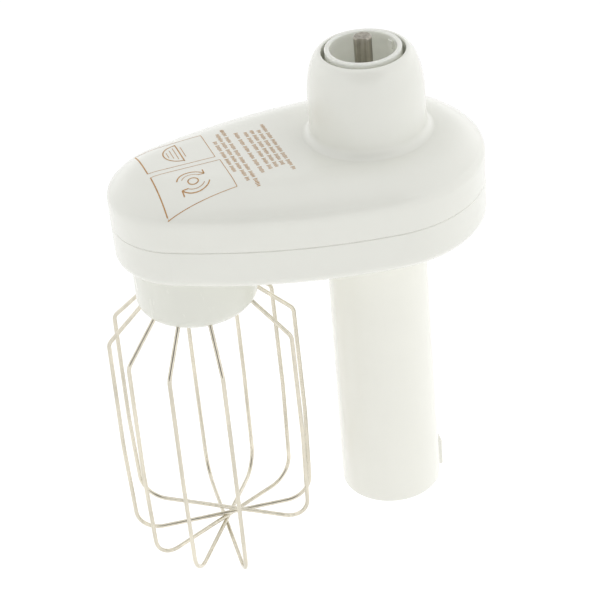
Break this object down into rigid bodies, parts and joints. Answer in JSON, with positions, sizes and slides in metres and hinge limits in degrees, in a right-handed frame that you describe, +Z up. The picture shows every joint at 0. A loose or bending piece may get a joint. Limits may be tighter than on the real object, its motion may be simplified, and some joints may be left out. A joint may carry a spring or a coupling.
{
  "type": "hand mixer whisk attachment",
  "caption": "Egg-shaped gear head on a tall column, with a domed drive socket on top and a wire whisk that hangs beside the column and lifts off its spindle.",
  "frame": {"origin": "centre of the column's foot, on the drive axis", "axes": "+Z up along the drive axis; the whisk axis is parallel to it on the -X side"},
  "size_m": [0.158, 0.0892, 0.2201],
  "materials": {
    "white_shell": "smooth gloss",
    "white_sleeve": "smooth gloss",
    "white_hub": "smooth gloss",
    "gear_plastic": "natural acetal",
    "dark_plastic": "glass-filled",
    "bronze": "sintered",
    "seal_rubber": "matte",
    "steel": "ground",
    "whisk_wire": "drawn stainless"
  },
  "bodies": {
    "housing": {"lower_shell": "white_shell", "upper_shell": "white_shell", "column": "white_shell", "shell_screws": "steel", "column_screws": "steel", "column_top_bush": "bronze", "column_foot_bush": "bronze", "dome_bush": "gear_plastic", "spindle_low_bush": "bronze", "spindle_seal": "seal_rubber", "spindle_top_bush": "bronze", "idler_axle": "steel"},
    "drive": {"drive_shaft": "steel", "driver_gear": "gear_plastic", "drive_coupling": "dark_plastic", "shaft_clip_low": "steel", "shaft_clip_top": "steel"},
    "idler": {"idler_wheel": "gear_plastic", "idler_pinion": "gear_plastic", "idler_washer_low": "steel", "idler_washer_top": "steel"},
    "sleeve": {"guide_sleeve": "white_sleeve", "sun_gear": "gear_plastic", "sleeve_inner_bush": "bronze", "sleeve_clip": "steel"},
    "spindle": {"whisk_spindle": "steel", "whisk_gear": "gear_plastic", "spindle_clip": "steel", "drive_pin": "steel"},
    "whisk": {"whisk_hub": "white_hub", "hub_lid": "white_hub", "wire_clamp": "white_hub", "detent_ring": "steel", "wire_loop_a": "whisk_wire", "wire_loop_b": "whisk_wire", "wire_loop_c": "whisk_wire", "wire_loop_d": "whisk_wire", "wire_loop_e": "whisk_wire"}
  },
  "joints": [
    {"name": "drive_spin", "type": "hinge", "parent": "housing", "child": "drive", "pos_m": [0, 0, 0.1], "axis": [0, 0, 1], "continuous": true},
    {"name": "idler_spin", "type": "hinge", "parent": "housing", "child": "idler", "pos_m": [-0.032, 0, 0.15], "axis": [0, 0, 1], "continuous": true},
    {"name": "sleeve_spin", "type": "hinge", "parent": "housing", "child": "sleeve", "pos_m": [0, 0, 0.18], "axis": [0, 0, 1], "continuous": true},
    {"name": "spindle_spin", "type": "hinge", "parent": "housing", "child": "spindle", "pos_m": [-0.074, 0, 0.14], "axis": [0, 0, 1], "continuous": true},
    {"name": "whisk_release", "type": "slide", "parent": "spindle", "child": "whisk", "axis": [0, 0, -1], "range_m": [0, 0.035]}
  ],
  "couplings": [
    {"joint": "idler_spin", "follows": "drive_spin", "ratio": -0.77778},
    {"joint": "sleeve_spin", "follows": "drive_spin", "ratio": 0.21778},
    {"joint": "spindle_spin", "follows": "drive_spin", "ratio": 0.58333}
  ]
}
